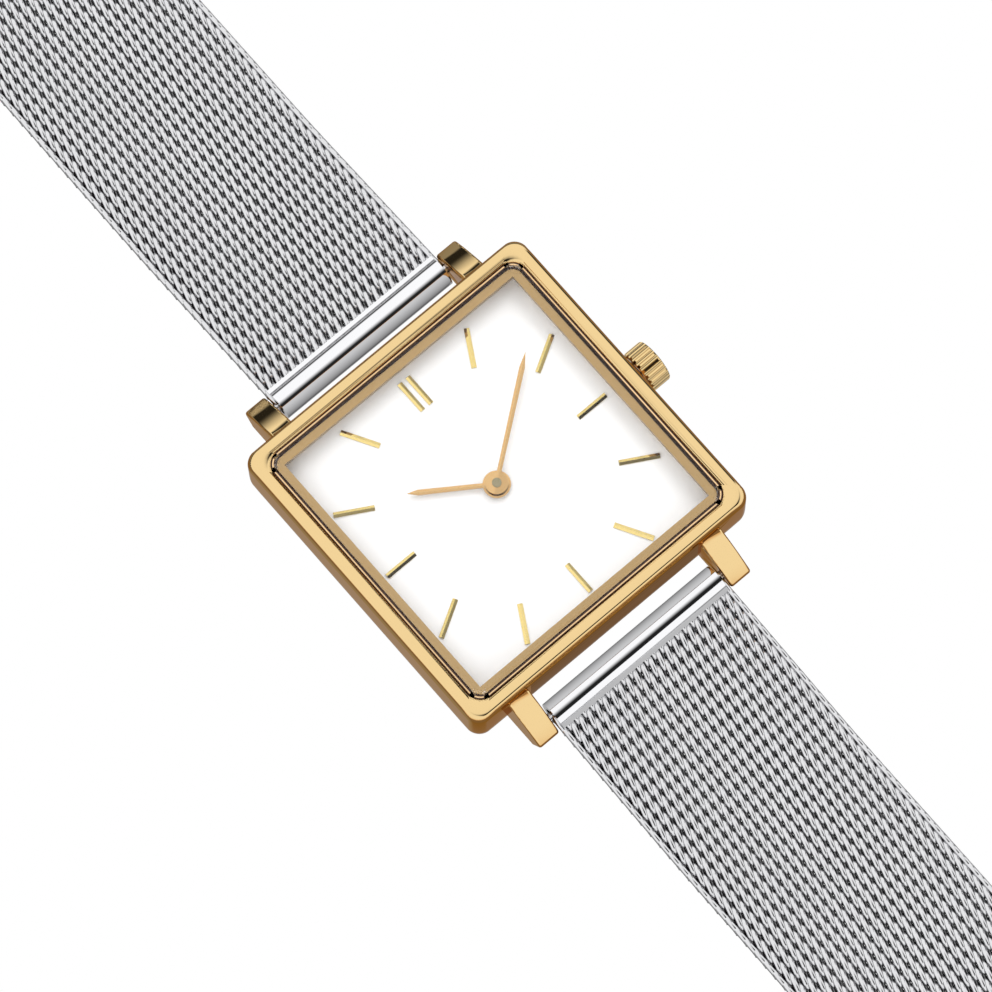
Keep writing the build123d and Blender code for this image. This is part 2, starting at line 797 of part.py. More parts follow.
def make_crown_gasket():
    from_x = crown_x + crown_gasket_in
    to_x = from_x + crown_gasket_long
    ring = rod(crown_bore_r - crown_gasket_gap, from_x, to_x, z=crown_z)
    return ring - rod(tube_r + crown_gasket_gap, from_x - overrun, to_x + overrun, z=crown_z)


def make_stem():
    stem = rod(stem_thin_r, stem_end_x, crown_x + crown_long)
    stem += rod(stem_r, stem_thick_from_x, stem_thick_to_x)
    groove = (stem_groove_x - stem_groove_width / 2, stem_groove_x + stem_groove_width / 2)
    stem -= rod(stem_r + overrun, *groove) - rod(stem_groove_r, *groove)
    return Pos(0, 0, crown_z) * stem


def make_sliding_pinion():
    to_x = pinion_from_x + pinion_long
    pinion = rod(pinion_r, pinion_from_x, to_x)
    pinion -= rod(stem_thin_r + running_gap, pinion_from_x - overrun, to_x + overrun)
    half = pinion_tooth_width / 2
    slot = (pinion_from_x, pinion_from_x + pinion_tooth_deep)
    cut = block(slot, (-half, half), (stem_r, pinion_r + overrun))
    pinion -= [Rot(turn * 360 / pinion_teeth, 0, 0) * cut for turn in range(pinion_teeth)]
    return Pos(0, 0, crown_z) * pinion


def make_setting_lever():
    top = motion_high_z + lever_thick
    pivot = (lever_pivot_x, lever_pivot_y)
    pin = (stem_groove_x, 0)
    long = math.dist(pivot, pin)
    half = lever_width / 2
    arm = block((0, long), (-half, half), (motion_high_z, top))
    lever = Pos(*pivot, 0) * Rot(0, 0, direction_to(pivot, pin)) * arm
    lever += post(half, motion_high_z, top, *pivot) + post(half, motion_high_z, top, *pin)
    lever += post(lever_pin_r, crown_z + stem_groove_r + running_gap, motion_high_z, *pin)
    return lever - post(post_r + running_gap, motion_high_z - overrun, top + overrun, *pivot)


# Case back
def make_case_back():
    back = square_prism(back_half, corner_radius(back_half), 0, case_bottom_z)
    back = chamfer(back.faces().sort_by(Axis.Z)[0].edges(), back_chamfer)
    lip = square_prism(dial_half, corner_radius(dial_half), case_bottom_z, back_lip_top_z)
    lip -= square_box(dial_half - back_lip_wall, case_bottom_z, back_lip_top_z + overrun)
    top_z = back_gasket_z + back_gasket_high
    groove = square_prism(dial_half + overrun, case_corner_r, back_gasket_z, top_z)
    groove_half = cavity_half - back_gasket_deep
    groove -= square_prism(groove_half, corner_radius(dial_half), back_gasket_z, top_z)
    return back + (lip - groove)


def make_case_back_gasket():
    top = back_gasket_z + back_gasket_high
    ring = square_prism(cavity_half, corner_radius(cavity_half), back_gasket_z, top)
    groove_half = cavity_half - back_gasket_deep
    return ring - square_prism(groove_half, corner_radius(dial_half), back_gasket_z - overrun, top + overrun)


# Spring bars
def both_ends(shape):
    """A shape at twelve o'clock and its twin at six."""
    return Compound(children=[shape, Rot(0, 0, 180) * shape])


def make_bar_barrels():
    barrel = rod(barrel_r, -barrel_half, barrel_half, bar_y, bar_z)
    return both_ends(barrel - rod(barrel_bore_r, -case_half, case_half, bar_y, bar_z))


def make_bar_springs():
    spring = rod(bar_spring_r, -bar_pin_inner_x, bar_pin_inner_x, bar_y, bar_z)
    return both_ends(spring - rod(bar_spring_bore_r, -case_half, case_half, bar_y, bar_z))


def make_bar_pin(side, end):
    tip_x = lug_outer_x - lug_thick + bar_tip_long
    pin = rod(bar_pin_r, bar_pin_inner_x, bar_pin_collar_x) + rod(bar_tip_r, bar_pin_collar_x, tip_x)
    return Pos(0, end * bar_y, bar_z) * Rot(0, 0, 0 if side > 0 else 180) * pin


# Band: each piece is drawn along +Y from its own joint and then laid in place
def lay(end, y, z, slope, shape):
    """Puts a piece with its joint at a distance and height; end is +1 for twelve, -1 for six."""
    return Rot(0, 0, 0 if end > 0 else 180) * Pos(0, y, z) * Rot(slope, 0, 0) * shape


def band_slab(from_y, to_y):
    return block((-band_half, band_half), (from_y, to_y), (-band_thick / 2, band_thick / 2))


def woven_slab(from_y, to_y):
    """Slab with a plain grid of openings, which lets light through as the weave does."""
    rows = int((to_y - from_y - 2 * opening_margin) / opening_pitch_y)
    grid = GridLocations(opening_pitch_x, opening_pitch_y, opening_columns, rows)
    opening = Box(opening_width, opening_long, band_thick + overrun)
    return band_slab(from_y, to_y) - [Pos(0, (from_y + to_y) / 2, 0) * spot * opening for spot in grid]


def make_end_tube(end):
    tube = rod(end_tube_r, -end_tube_half, end_tube_half)
    tube += block((-end_tube_half, end_tube_half), (jaw_from, jaw_to), (-jaw_thick / 2, jaw_thick / 2))
    tube -= rod(barrel_r + running_gap, -case_half, case_half)
    return lay(end, bar_y, bar_z, -lead_slope, tube)


def make_lead(end):
    lead = woven_slab(jaw_to, lead_long) + rod(band_thick / 2, -band_half, band_half, lead_long)
    return lay(end, bar_y, bar_z, -lead_slope, lead)


def make_link(end, place, y, slope, long, rounded):
    link = woven_slab(joint_back_off, long)
    if rounded:
        link += rod(band_thick / 2, -band_half, band_half, long)
    link -= rod(joint_socket_r, -case_half, case_half)
    return lay(end, y, band_mid_z if place == "low" else tail_mid_z, slope, link)


def make_band_tip():
    tip = band_slab(tail_long, tail_long + tip_long)
    tip = fillet(tip.edges().filter_by(Axis.X).group_by(Axis.Y)[-1], tip_edge_r)
    return lay(-1, tail_y, tail_mid_z, 0, tip)


def make_hook_end():
    arm_y = hook_strip_long + hook_arm_long
    hook = band_slab(0, hook_strip_long)
    for side in (-1, 1):
        inner, outer = sorted((side * (hook_rod_half - hook_arm_width), side * hook_rod_half))
        hook += block((inner, outer), (hook_strip_long, arm_y), (-hook_arm_thick / 2, hook_arm_thick / 2))
    hook += rod(hook_rod_r, -hook_rod_half, hook_rod_half, arm_y)
    return lay(1, last_joint_y, band_mid_z, 0, hook)


# Sliding clasp, drawn along +Y over the tail and turned to six o'clock
clasp_near_y = tail_y + clasp_from_tail
clasp_far_y = clasp_near_y + clasp_long
clasp_inner_half = band_half + clasp_side_gap
clasp_outer_half = clasp_inner_half + clasp_side_wall
clasp_roof_z = tail_mid_z + band_thick / 2 + running_gap
clasp_top_z = clasp_roof_z + clasp_wall
lock_pin_y = clasp_near_y + lock_pin_inset
lock_pin_z = clasp_roof_z + running_gap + lock_knuckle_r
cover_pin_y = clasp_far_y - cover_pin_inset
cover_pin_z = clasp_top_z + cover_pin_rise


def clasp_ear(inner_x, y, z):
    """Pair of ears on the frame's top, with the hole for their pin."""
    ys = (y - clasp_ear_half, y + clasp_ear_half)
    ears = block((inner_x, inner_x + clasp_ear_thick), ys, (clasp_roof_z, z + clasp_ear_half))
    ears += block((-inner_x - clasp_ear_thick, -inner_x), ys, (clasp_roof_z, z + clasp_ear_half))
    return ears


def make_clasp_frame():
    ys = (clasp_near_y, clasp_far_y)
    frame = block((-clasp_outer_half, clasp_outer_half), ys, (0, clasp_top_z))
    window_half = lock_half + clasp_side_gap
    window_ys = (lock_pin_y - lock_knuckle_r - clasp_side_gap, lock_pin_y + lock_long + clasp_side_gap)
    frame -= block((-window_half, window_half), window_ys, (clasp_wall, clasp_top_z + overrun))
    lock_ears = clasp_ear(window_half, lock_pin_y, lock_pin_z)
    cover_ears = clasp_ear(cover_knuckle_half + running_gap, cover_pin_y, cover_pin_z)
    frame += lock_ears + cover_ears
    inner_ys = (clasp_near_y - overrun, clasp_far_y + overrun)
    frame -= block((-clasp_inner_half, clasp_inner_half), inner_ys, (clasp_wall, clasp_roof_z))
    for pin_y, pin_z in ((lock_pin_y, lock_pin_z), (cover_pin_y, cover_pin_z)):
        frame -= rod(clasp_pin_r, -clasp_outer_half, clasp_outer_half, pin_y, pin_z)
    catch_y = cover_pin_y - cover_long / 2
    for side in (-1, 1):
        rib_y = catch_y + side * (catch_gap + catch_thick) / 2
        rib_ys = (rib_y - catch_thick / 2, rib_y + catch_thick / 2)
        frame += block((-catch_half, catch_half), rib_ys, (clasp_roof_z, clasp_top_z + catch_high))
    return lay(-1, 0, 0, 0, frame)


def make_lock_plate():
    low_z = lock_pin_z - lock_knuckle_r
    plate_ys = (lock_pin_y, lock_pin_y + lock_long)
    plate = block((-lock_half, lock_half), plate_ys, (low_z, low_z + lock_thick))
    rib_ys = (plate_ys[1] - lock_thick, plate_ys[1])
    plate += block((-lock_half, lock_half), rib_ys, (low_z - lock_rib / 2, low_z))
    plate += rod(lock_knuckle_r, -lock_half, lock_half, lock_pin_y, lock_pin_z)
    plate -= rod(clasp_pin_r + running_gap, -case_half, case_half, lock_pin_y, lock_pin_z)
    return lay(-1, 0, 0, 0, plate)


def make_clasp_cover():
    low_z = clasp_top_z + cover_gap
    top_z = low_z + cover_thick
    half = clasp_outer_half + running_gap + cover_cheek
    free_y = cover_pin_y - cover_long
    cover = block((-half, half), (free_y, cover_pin_y - cover_knuckle_r), (low_z, top_z))
    for side in (-1, 1):
        inner, outer = sorted((side * (half - cover_cheek), side * half))
        cheek_ys = (free_y, cover_pin_y - 2 * cover_knuckle_r)
        cover += block((inner, outer), cheek_ys, (top_z - cover_cheek_down - cover_gap, top_z))
    knuckle = (-cover_knuckle_half, cover_knuckle_half)
    web = (cover_pin_y - cover_knuckle_r, cover_pin_y + cover_web_out)
    cover += block(knuckle, web, (cover_pin_z, top_z))
    cover += rod(cover_knuckle_r, *knuckle, cover_pin_y, cover_pin_z)
    cover -= rod(clasp_pin_r + running_gap, -case_half, case_half, cover_pin_y, cover_pin_z)
    return lay(-1, 0, 0, 0, cover)


def make_clasp_pins():
    lock_reach = lock_half + clasp_side_gap + clasp_ear_thick
    cover_reach = cover_knuckle_half + running_gap + clasp_ear_thick
    pins = [
        rod(clasp_pin_r, -lock_reach, lock_reach, lock_pin_y, lock_pin_z),
        rod(clasp_pin_r, -cover_reach, cover_reach, cover_pin_y, cover_pin_z),
    ]
    return Compound(children=[lay(-1, 0, 0, 0, pin) for pin in pins])


# Every node
def all_nodes():
    nodes = {
        "case_body": make_case_body(),
        "crystal": make_crystal(),
        "crystal_gasket": make_crystal_gasket(),
        "dial_flange": make_dial_flange(),
        "dial": make_dial(),
        "hour_markers": make_hour_markers(),
        "hour_hand": make_hand(hour_hand_long, hour_hub_r, hour_tube_r, hour_hand_z, hour_hand_turn),
        "minute_hand": make_hand(minute_hand_long, minute_hub_r, arbor_r, minute_hand_z, minute_hand_turn),
        "main_plate": make_main_plate(),
        "train_bridge": make_train_bridge(),
        "circuit_board": make_circuit_board(),
        "quartz_can": make_quartz_can(),
        "chip": make_chip(),
        "coil": make_coil(),
        "stator": make_stator(),
        "rotor": make_rotor(),
        "intermediate_wheel": make_intermediate_wheel(),
        "center_wheel": make_center_wheel(),
        "minute_wheel": make_minute_wheel(),
        "hour_wheel": make_hour_wheel(),
        "setting_wheel": make_setting_wheel(),
        "stem": make_stem(),
        "sliding_pinion": make_sliding_pinion(),
        "setting_lever": make_setting_lever(),
        "battery": make_battery(),
        "battery_clamp": make_battery_clamp(),
        "movement_screws": make_movement_screws(),
        "movement_holder": make_movement_holder(),
        "case_back": make_case_back(),
        "case_back_gasket": make_case_back_gasket(),
        "crown_tube": make_crown_tube(),
        "crown": make_crown(),
        "crown_gasket": make_crown_gasket(),
        "bar_barrels": make_bar_barrels(),
        "bar_springs": make_bar_springs(),
        "hook_end": make_hook_end(),
        "band_tip": make_band_tip(),
        "clasp_frame": make_clasp_frame(),
        "clasp_lock_plate": make_lock_plate(),
        "clasp_cover": make_clasp_cover(),
        "clasp_pins": make_clasp_pins(),
    }
    for end, hour in ((1, "12"), (-1, "6")):
        for side, name in ((1, "crown_side"), (-1, "far_side")):
            nodes[f"bar_pin_{hour}_{name}"] = make_bar_pin(side, end)
        nodes[f"end_tube_{hour}"] = make_end_tube(end)
        nodes[f"band_{hour}_lead"] = make_lead(end)
        for number in range(link_count):
            last = end > 0 and number == link_count - 1
            y = first_joint_y + number * link_long
            nodes[f"band_{hour}_link_{number + 1}"] = make_link(end, "low", y, 0, link_long, not last)
    nodes["band_6_ramp"] = make_link(-1, "low", last_joint_y, ramp_slope, link_long, True)
    nodes["band_6_tail"] = make_link(-1, "high", tail_y, 0, tail_long, False)
    return nodes


os.makedirs("parts", exist_ok=True)
for node_name, node_shape in all_nodes().items():
    export_step(node_shape, f"parts/{node_name}.step")
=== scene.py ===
# Looks of the square watch: materials for every piece, the woven steel band and the photograph's view.
# Lengths are in millimetres until MM turns them into metres.
import bmesh
import bpy
import json
import math
from mathutils import Matrix, Vector


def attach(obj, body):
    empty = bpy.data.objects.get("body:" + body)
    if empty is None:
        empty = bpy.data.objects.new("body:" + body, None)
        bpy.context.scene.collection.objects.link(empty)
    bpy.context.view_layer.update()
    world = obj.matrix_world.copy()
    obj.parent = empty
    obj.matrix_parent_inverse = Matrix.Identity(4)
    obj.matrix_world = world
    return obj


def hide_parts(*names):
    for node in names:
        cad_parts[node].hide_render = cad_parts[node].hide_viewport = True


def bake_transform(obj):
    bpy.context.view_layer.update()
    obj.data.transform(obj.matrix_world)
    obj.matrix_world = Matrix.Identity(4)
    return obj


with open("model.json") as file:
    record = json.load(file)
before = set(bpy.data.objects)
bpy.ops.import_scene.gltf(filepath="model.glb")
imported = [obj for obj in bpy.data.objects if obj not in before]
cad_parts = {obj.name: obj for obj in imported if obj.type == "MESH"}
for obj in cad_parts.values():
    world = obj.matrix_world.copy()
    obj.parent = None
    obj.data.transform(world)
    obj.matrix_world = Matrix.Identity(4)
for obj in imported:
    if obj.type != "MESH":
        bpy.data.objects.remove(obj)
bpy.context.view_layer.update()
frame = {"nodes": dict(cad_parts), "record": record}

MM = 0.001


# Node graphs
class Value:
    """A node's output that can stand in sums and products."""

    def __init__(self, graph, socket):
        self.graph = graph
        self.socket = socket

    def __add__(self, other):
        return self.graph.math("ADD", self, other)

    def __radd__(self, other):
        return self.graph.math("ADD", other, self)

    def __sub__(self, other):
        return self.graph.math("SUBTRACT", self, other)

    def __rsub__(self, other):
        return self.graph.math("SUBTRACT", other, self)

    def __mul__(self, other):
        return self.graph.math("MULTIPLY", self, other)

    def __rmul__(self, other):
        return self.graph.math("MULTIPLY", other, self)


class Graph:
    """A node tree that is filled by one generic method."""

    def __init__(self, tree):
        self.tree = tree
        tree.nodes.clear()

    def node(self, kind, settings, inputs, output=0):
        made = self.tree.nodes.new(kind)
        for key, value in settings.items():
            setattr(made, key, value)
        for key, value in inputs.items():
            if isinstance(value, Value):
                self.tree.links.new(value.socket, made.inputs[key])
            else:
                made.inputs[key].default_value = value
        return Value(self, made.outputs[output]) if len(made.outputs) else made

    def math(self, operation, *values):
        return self.node("ShaderNodeMath", {"operation": operation}, dict(enumerate(values)))

    def mix(self, factor, low, high):
        return self.node("ShaderNodeMix", {"data_type": "RGBA"}, {0: factor, 6: low, 7: high}, 2)

    def tint(self, colour, factor):
        """A colour times a varying factor."""
        return self.node("ShaderNodeVectorMath", {"operation": "SCALE"}, {0: colour[:3], 3: factor})

    def smooth(self, value, low, high):
        """0 below low, 1 above high and a smooth rise between them."""
        settings = {"interpolation_type": "SMOOTHSTEP"}
        return self.node("ShaderNodeMapRange", settings, {0: value, 1: low, 2: high})

    def stripe(self, value, rise, fall):
        """1 between a smooth rise and a smooth fall, each given by its two ends."""
        return self.smooth(value, *rise) * (1 - self.smooth(value, *fall))

    def axes(self, vector):
        """The X, Y and Z of a vector."""
        parts = self.node("ShaderNodeSeparateXYZ", {}, {0: vector}).socket.node.outputs
        return [Value(self, parts[axis]) for axis in "XYZ"]

    def place(self, scale=(1.0, 1.0, 1.0), turn=(0.0, 0.0, 0.0)):
        """The point on the piece in millimetres, stretched and turned for a pattern."""
        point = self.node("ShaderNodeTexCoord", {}, {}, "Object")
        in_mm = tuple(share / MM for share in scale)
        return self.node("ShaderNodeMapping", {}, {0: point, 2: turn, 3: in_mm})

    def noise(self, scale, point, detail=3.0):
        return self.node("ShaderNodeTexNoise", {}, {"Vector": point, "Scale": scale, "Detail": detail})

    def bump(self, height, strength, distance):
        inputs = {"Strength": strength, "Distance": distance * MM, "Height": height}
        return self.node("ShaderNodeBump", {}, inputs)

    def principled(self, inputs):
        return self.node("ShaderNodeBsdfPrincipled", {}, inputs)


def linear(red, green, blue):
    """A shader colour from the 0 to 255 values of a screen colour."""
    shares = (red / 255, green / 255, blue / 255)
    return (*((s / 12.92 if s <= 0.04045 else ((s + 0.055) / 1.055) ** 2.4) for s in shares), 1.0)


def material(name, fill):
    made = bpy.data.materials.new(name)
    made.use_nodes = True
    graph = Graph(made.node_tree)
    shader = fill(graph)
    graph.node("ShaderNodeOutputMaterial", {}, {"Surface": shader})
    return made


def varied(graph, colour, amount, scale, point=None):
    """A colour that wanders a little over the surface."""
    wander = graph.noise(scale, point or graph.place())
    return graph.tint(colour, 1 - amount / 2 + amount * wander)


# Finishes
WHITE = (1.0, 1.0, 1.0, 1.0)
METAL_SCALE = 0.6
METAL_ROUGH_CHANGE = 0.03
METAL_GRAIN_DEEP = 0.02
DULL_ROUGH_CHANGE = 0.1
DULL_GRAIN_DEEP = 0.01


def metal(colour, rough, wander=0.04, stretch=(1.0, 1.0, 1.0), turn=0.0, grain=0.0):
    """Metal with a drifting tone, a roughness that changes with it, and a grain where it is brushed."""

    def fill(graph):
        point = graph.place(stretch, (0, 0, math.radians(turn)))
        fine = graph.noise(METAL_SCALE * 9, point, 4.0)
        inputs = {
            "Base Color": varied(graph, colour, wander, METAL_SCALE, point),
            "Metallic": 1.0,
            "Roughness": rough - METAL_ROUGH_CHANGE / 2 + METAL_ROUGH_CHANGE * fine,
        }
        if grain:
            inputs["Normal"] = graph.bump(fine, grain, METAL_GRAIN_DEEP)
        return graph.principled(inputs)

    return fill


def dull(colour, rough, wander=0.1, scale=1.5, grain=0.15):
    """Paint, plastic or rubber with a fine uneven skin."""

    def fill(graph):
        point = graph.place()
        fine = graph.noise(scale * 8, point, 4.0)
        return graph.principled({
            "Base Color": varied(graph, colour, wander, scale, point),
            "Roughness": rough - DULL_ROUGH_CHANGE / 2 + DULL_ROUGH_CHANGE * fine,
            "Normal": graph.bump(fine, grain, DULL_GRAIN_DEEP),
        })

    return fill


def crystal(graph):
    """Clear crystal: light goes straight through, and a share that grows at grazing views is reflected."""
    haze = graph.noise(0.4, graph.place())
    fresnel = graph.node("ShaderNodeFresnel", {}, {"IOR": 1.5})
    clear = graph.node("ShaderNodeBsdfTransparent", {}, {"Color": WHITE})
    rough = 0.01 + 0.01 * haze
    mirror = graph.node("ShaderNodeBsdfAnisotropic", {}, {"Color": WHITE, "Roughness": rough})
    return graph.node("ShaderNodeMixShader", {}, {0: fresnel * (0.3 + 0.1 * haze), 1: clear, 2: mirror})


STEEL = (0.6, 0.6, 0.61, 1.0)
WIRE_STEEL = (0.5, 0.5, 0.51, 1.0)
# Near-black painted shade for the wire where it passes low between its neighbours
WIRE_PAINTED_SHADE = linear(5, 5, 6)


def weave_steel(graph):
    """Drawn wire with painted light and shade: painted bright on its crowns and painted near-black where it
    dives between its neighbours.
    """
    depth = graph.node("ShaderNodeAttribute", {"attribute_name": "depth"}, {}, "Fac")
    point = graph.place()
    lit = graph.smooth(depth, 0.4, 0.65)
    return graph.principled({
        "Base Color": graph.mix(lit, WIRE_PAINTED_SHADE, varied(graph, WIRE_STEEL, 0.1, 0.35, point)),
        "Metallic": 1.0,
        "Roughness": 0.14 + 0.08 * graph.noise(5.0, point),
    })


def circuit(graph):
    """Green board with paler copper runs under the lacquer."""
    point = graph.place((1.0, 1.0, 0.0))
    pattern = {"Vector": point, "Scale": 1.1, "Mortar Size": 0.035}
    runs = graph.node("ShaderNodeTexBrick", {}, pattern, "Fac")
    base = varied(graph, linear(24, 84, 48), 0.3, 1.2, graph.place())
    return graph.principled({
        "Base Color": graph.mix(runs, base, linear(92, 140, 72)),
        "Roughness": 0.35 + 0.1 * graph.noise(6.0, graph.place()),
        "Normal": graph.bump(runs, 0.4, 0.02),
    })


def wound_copper(graph):
    """Enamelled copper wire wound round the coil's core, which runs along Y."""
    point = graph.place()
    settings = {"wave_type": "BANDS", "bands_direction": "Y"}
    turns = graph.node("ShaderNodeTexWave", settings, {"Vector": point, "Scale": 4.0}, "Fac")
    return graph.principled({
        "Base Color": graph.mix(turns, linear(120, 58, 26), linear(222, 132, 78)),
        "Metallic": 1.0,
        "Roughness": 0.3 + 0.1 * graph.noise(4.0, point),
        "Normal": graph.bump(turns, 0.6, 0.03),
    })


GOLD = (0.56, 0.41, 0.2, 1.0)
# Deep orange gold, painted shade for the case's rounds
PAINTED_SHADE_GOLD = (0.42, 0.2, 0.055, 1.0)
SATIN_GOLD = (0.35, 0.232, 0.101, 1.0)
GOLD_EDGE_TINT = (0.85, 0.6, 0.4, 1.0)


def case_gold_painted_light(graph):
    """Gold plate with painted light and shade by facing: painted light on the level faces and on the side
    towards nine, and painted shade in a deep orange on its rounds.
    """
    normal = graph.node("ShaderNodeNewGeometry", {}, {}, "Normal")
    to_crown, _, up = graph.axes(normal)
    # Painted light and shade: faces that turn up or towards nine get the lit tone, the rest the shaded tone
    level = graph.smooth(up, 0.6, 0.8)
    nine = graph.smooth(0 - to_crown, 0.85, 0.98)
    painted_light_mask = graph.math("MAXIMUM", level, nine)
    painted_shade_tone = varied(graph, PAINTED_SHADE_GOLD, 0.06, 0.6)
    painted_light_tone = varied(graph, GOLD, 0.04, 0.6)
    return graph.principled({
        "Base Color": graph.mix(painted_light_mask, painted_shade_tone, painted_light_tone),
        "Metallic": 1.0,
        "Roughness": 0.035 + 0.03 * graph.noise(5.4, graph.place()),
        "Specular Tint": GOLD_EDGE_TINT,
    })


# The painted highlight on the gasket runs at a distance outside a square, so that it turns the corners in
# arcs.
HIGHLIGHT_SQUARE_HALF = 10.6
HIGHLIGHT_RISE = (1.0, 1.06)
HIGHLIGHT_FALL = (1.09, 1.15)


def gasket_painted_highlight(graph):
    """Gasket painted dark brown for the shade in the gap beside the crystal, with a painted highlight all
    round its top.
    """
    wide, long, _ = graph.axes(graph.place())
    past = [graph.math("ABSOLUTE", axis) - HIGHLIGHT_SQUARE_HALF for axis in (wide, long)]
    past_x, past_y = (graph.math("MAXIMUM", axis, 0.0) for axis in past)
    out = graph.math("POWER", past_x * past_x + past_y * past_y, 0.5)
    painted_highlight = graph.stripe(out, HIGHLIGHT_RISE, HIGHLIGHT_FALL)
    fine = graph.noise(12.0, graph.place())
    return graph.principled({
        # Painted shade in dark brown, and a painted highlight in cream along the band
        "Base Color": graph.mix(painted_highlight, linear(50, 25, 12), linear(226, 190, 140)),
        "Roughness": 0.55 + 0.1 * fine,
        "Normal": graph.bump(fine, 0.1, 0.01),
    })


FINER_IN_Z = (1.0, 1.0, 4.0)
FINER_IN_Y = (1.0, 12.0, 1.0)
looks = {
    "gold": metal(GOLD, 0.05),
    "gold_satin": metal(SATIN_GOLD, 0.3, stretch=FINER_IN_Z),
    "steel_polished": metal(STEEL, 0.05),
    "steel_mesh": weave_steel,
    "steel_inner": metal(linear(196, 196, 198), 0.22, wander=0.1, grain=0.1),
    "crystal_glass": crystal,
    "gasket_nylon": gasket_painted_highlight,
    "gasket_rubber": dull(linear(30, 30, 32), 0.6),
    "dial_white": dull(linear(246, 246, 246), 0.35, wander=0.015, scale=0.3, grain=0.02),
    "brass_works": metal(linear(214, 176, 96), 0.25, wander=0.12, grain=0.1),
    "plate_nickel": metal(
        linear(206, 202, 190), 0.24, wander=0.1, stretch=FINER_IN_Y, turn=30.0, grain=0.2
    ),
    "board_green": circuit,
    "chip_black": dull(linear(24, 24, 26), 0.5, wander=0.3),
    "copper_wire": wound_copper,
    "holder_plastic": dull(linear(226, 224, 216), 0.45),
}
materials = {slot: material(slot, fill) for slot, fill in looks.items()}
for part in frame["record"]["subparts"]:
    mesh = frame["nodes"][part["node"]].data
    mesh.materials.clear()
    mesh.materials.append(materials[part["material_slot"]])
hand_gold = material("hand_gold", metal((0.5, 0.32, 0.14, 1.0), 0.16, stretch=FINER_IN_Z))
own_looks = {
    "hour_hand": hand_gold,
    "minute_hand": hand_gold,
    "hour_markers": material("marker_gold", metal((0.6, 0.47, 0.18, 1.0), 0.05)),
    "center_wheel": material("arbor_steel", metal((0.24, 0.21, 0.13, 1.0), 0.25, wander=0.1)),
}
for node, look in own_looks.items():
    frame["nodes"][node].data.materials[0] = look

# Case, gasket and crystal with the tight corners of the real ones. The solids' corners are arcs about
# CORNER_AT. A row of RIM, or of WALL below it, gives a line's distance from the middle, its new distance and
# its corner's new radius.
CORNER_AT = 11.1
RIM_FROM = 5.7
RIM = ((11.2, 11.2, 0.7), (11.55, 11.53, 1.0), (11.95, 11.8, 1.2), (12.35, 12.2, 1.2), (13.0, 13.0, 1.15))
WALL = ((11.999, 11.999, 0.899), (12.0, 12.0, 0.9), (12.25, 12.25, 1.15), (13.0, 13.0, 1.15))
INNER_SLACK = 1e-4
OUTER_SLACK = 1e-3
MERGE_WITHIN = 0.0005
SHARP_DEGREES = 25


def tightened(half, rows):
    """Where a line at this distance from the middle goes, and its corner's new radius."""
    for low, high in zip(rows, rows[1:]):
        if half <= high[0]:
            share = max(half - low[0], 0) / (high[0] - low[0])
            return [a + (b - a) * share for a, b in zip(low[1:], high[1:])]
    return rows[-1][1:]


def cornered(point, kept_half):
    """A point of a solid, moved to where it lies on the shape with tight corners."""
    x, y, z = (metres / MM for metres in point)
    rows = RIM if z > RIM_FROM else WALL
    past_x, past_y = abs(x) - CORNER_AT, abs(y) - CORNER_AT
    in_corner = past_x > 0 and past_y > 0
    half = CORNER_AT + math.hypot(past_x, past_y) if in_corner else max(abs(x), abs(y))
    if half < max(kept_half, rows[0][0]) - INNER_SLACK or half > rows[-1][0] + OUTER_SLACK:
        return point
    moved, radius = tightened(half, rows)
    if in_corner:
        angle = math.atan2(past_y, past_x)
        wide, long = (moved - radius + radius * turn(angle) for turn in (math.cos, math.sin))
    else:
        wide, long = (moved, abs(y)) if abs(x) > abs(y) else (abs(x), moved)
    return Vector((math.copysign(wide, x), math.copysign(long, y), z)) * MM


def tight_corners(name, node, slot, kept_half):
    """A solid's own shape with tight corners, unchanged within a distance from the middle."""
    bm = bmesh.new()
    bm.from_mesh(frame["nodes"][node].data)
    bmesh.ops.remove_doubles(bm, verts=bm.verts, dist=MERGE_WITHIN * MM)
    for vertex in bm.verts:
        vertex.co = cornered(vertex.co, kept_half)
    mesh = bpy.data.meshes.new(name)
    bm.to_mesh(mesh)
    bm.free()
    mesh.shade_smooth()
    mesh.set_sharp_from_angle(angle=math.radians(SHARP_DEGREES))
    mesh.materials.clear()
    mesh.materials.append(materials[slot])
    piece = bpy.data.objects.new(name, mesh)
    bpy.context.scene.collection.objects.link(piece)
    weighted = piece.modifiers.new("flats stay flat", "WEIGHTED_NORMAL")
    weighted.keep_sharp = True
    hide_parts(node)
    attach(piece, "case")
    return piece


gold_case = tight_corners("gold_case", "case_body", "gold", kept_half=11.5)
gold_case.data.materials[0] = material("case_gold_painted_light", case_gold_painted_light)
tight_corners("rim_gasket", "crystal_gasket", "gasket_nylon", kept_half=11.2)
tight_corners("clear_crystal", "crystal", "crystal_glass", kept_half=11.2)

# Woven band: its midline starts at the end tube, comes down to the table and, at six o'clock, rises over
# the hook. Its midline bends at the first of JOINTS and, at six o'clock, at the last of them and at
# TAIL_FROM.
WEAVE_FROM = 16.45
LEAD_DROP = 1.8
LEAD_LONG = 14.891
LEAD_EASE = 3.0
BAND_LOW = 0.65
FIRST_JOINT = 30.091
LINK_LONG = 12.0
JOINTS = [FIRST_JOINT + LINK_LONG * n for n in range(4)]
TAIL_FROM = 78.074
TAIL_TO = 124.0
TAIL_RISE = 0.65
TAIL_EASE = 2.0

